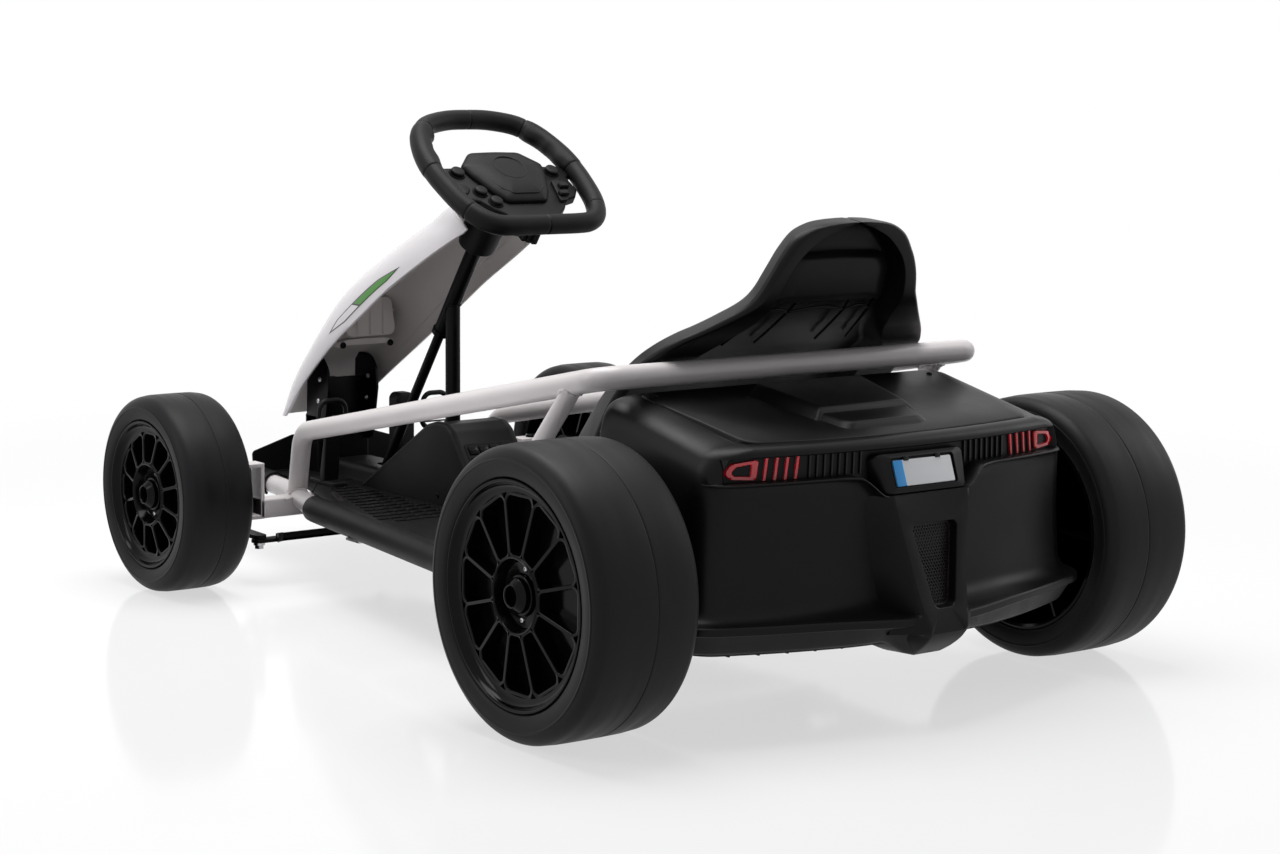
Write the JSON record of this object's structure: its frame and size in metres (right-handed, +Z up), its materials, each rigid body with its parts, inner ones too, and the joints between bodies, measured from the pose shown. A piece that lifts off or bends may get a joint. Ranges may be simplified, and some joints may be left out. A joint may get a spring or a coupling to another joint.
{
  "type": "electric drift kart",
  "caption": "Low electric kart for a child: tube frame with hoop rail, bucket seat, steering column with wheel, linked front wheels and a housed tail on fat slick tyres.",
  "frame": {"origin": "middle of the footprint, on the floor", "axes": "the kart faces -Y, its left side is +X, +Z is up"},
  "size_m": [0.824, 1.294, 0.6008],
  "materials": {
    "white_paint": "gloss",
    "black_steel": "satin",
    "zinc_steel": "satin",
    "tyre_rubber": "satin",
    "gloss_black": "gloss",
    "satin_black": "satin",
    "grained_black": "fine grain",
    "white_shell": "gloss",
    "red_lens": "gloss",
    "grey_plastic": "matte",
    "plate_white": "satin"
  },
  "bodies": {
    "chassis": {"frame_tube_left": "white_paint", "frame_tube_right": "white_paint", "front_cross_tube": "black_steel", "rear_cross_tube": "black_steel", "front_beam": "white_paint", "cross_strip_front": "zinc_steel", "cross_strip_rear": "zinc_steel", "hoop_rail_left": "white_paint", "hoop_rail_right": "white_paint", "hoop_rail_rear": "white_paint", "hoop_post_left": "white_paint", "hoop_post_right": "white_paint", "floor_pan": "grained_black", "toe_board": "grained_black", "fairing": "white_shell", "fairing_bracket": "black_steel", "console": "grained_black", "pedal_go": "grained_black", "pedal_brake": "grained_black", "steering_column": "black_steel", "seat_shell": "satin_black", "rear_body": "satin_black", "deck_lid": "satin_black", "louvre_band": "grained_black", "tail_lamp_left": "red_lens", "tail_lamp_right": "red_lens", "centre_panel": "satin_black", "number_plate": "plate_white", "rear_grille": "grey_plastic", "undertray": "grey_plastic", "battery_box": "grey_plastic", "gearbox_left": "grained_black", "gearbox_right": "grained_black", "rear_axle": "zinc_steel"},
    "steering": {"steering_rim": "grained_black", "steering_pad": "grained_black", "steering_shaft": "black_steel"},
    "kingpin_left": {"knuckle_left": "black_steel"},
    "kingpin_right": {"knuckle_right": "black_steel"},
    "tie": {"tie_bar": "black_steel"},
    "wheel_front_left": {"tyre_front_left": "tyre_rubber", "rim_front_left": "gloss_black", "hub_cap_front_left": "gloss_black"},
    "wheel_front_right": {"tyre_front_right": "tyre_rubber", "rim_front_right": "gloss_black", "hub_cap_front_right": "gloss_black"},
    "wheel_rear_left": {"tyre_rear_left": "tyre_rubber", "rim_rear_left": "gloss_black", "hub_cap_rear_left": "gloss_black"},
    "wheel_rear_right": {"tyre_rear_right": "tyre_rubber", "rim_rear_right": "gloss_black", "hub_cap_rear_right": "gloss_black"}
  },
  "joints": [
    {"name": "steering_turn", "type": "hinge", "parent": "chassis", "child": "steering", "pos_m": [0, -0.15702, 0.529], "axis": [0, 0.5707, 0.8211], "range_deg": [-40, 40]},
    {"name": "kingpin_turn_left", "type": "hinge", "parent": "chassis", "child": "kingpin_left", "pos_m": [0.225, -0.42, 0.11], "axis": [0, 0, 1], "range_deg": [-27.5, 27.5]},
    {"name": "kingpin_turn_right", "type": "hinge", "parent": "chassis", "child": "kingpin_right", "pos_m": [-0.225, -0.42, 0.11], "axis": [0, 0, 1], "range_deg": [-27.5, 27.5]},
    {"name": "tie_swing", "type": "hinge", "parent": "kingpin_left", "child": "tie", "pos_m": [0.225, -0.378, 0.058], "axis": [0, 0, 1], "range_deg": [-27.5, 27.5]},
    {"name": "spin_front_left", "type": "hinge", "parent": "kingpin_left", "child": "wheel_front_left", "pos_m": [0.319, -0.42, 0.124], "axis": [1, 0, 0], "continuous": true},
    {"name": "spin_front_right", "type": "hinge", "parent": "kingpin_right", "child": "wheel_front_right", "pos_m": [-0.319, -0.42, 0.124], "axis": [1, 0, 0], "continuous": true},
    {"name": "spin_rear_left", "type": "hinge", "parent": "chassis", "child": "wheel_rear_left", "pos_m": [0.348, 0.455, 0.15], "axis": [1, 0, 0], "continuous": true},
    {"name": "spin_rear_right", "type": "hinge", "parent": "chassis", "child": "wheel_rear_right", "pos_m": [-0.348, 0.455, 0.15], "axis": [1, 0, 0], "continuous": true}
  ],
  "couplings": [
    {"joint": "kingpin_turn_left", "follows": "steering_turn", "ratio": 0.68},
    {"joint": "kingpin_turn_right", "follows": "steering_turn", "ratio": 0.68},
    {"joint": "tie_swing", "follows": "steering_turn", "ratio": -0.68}
  ]
}
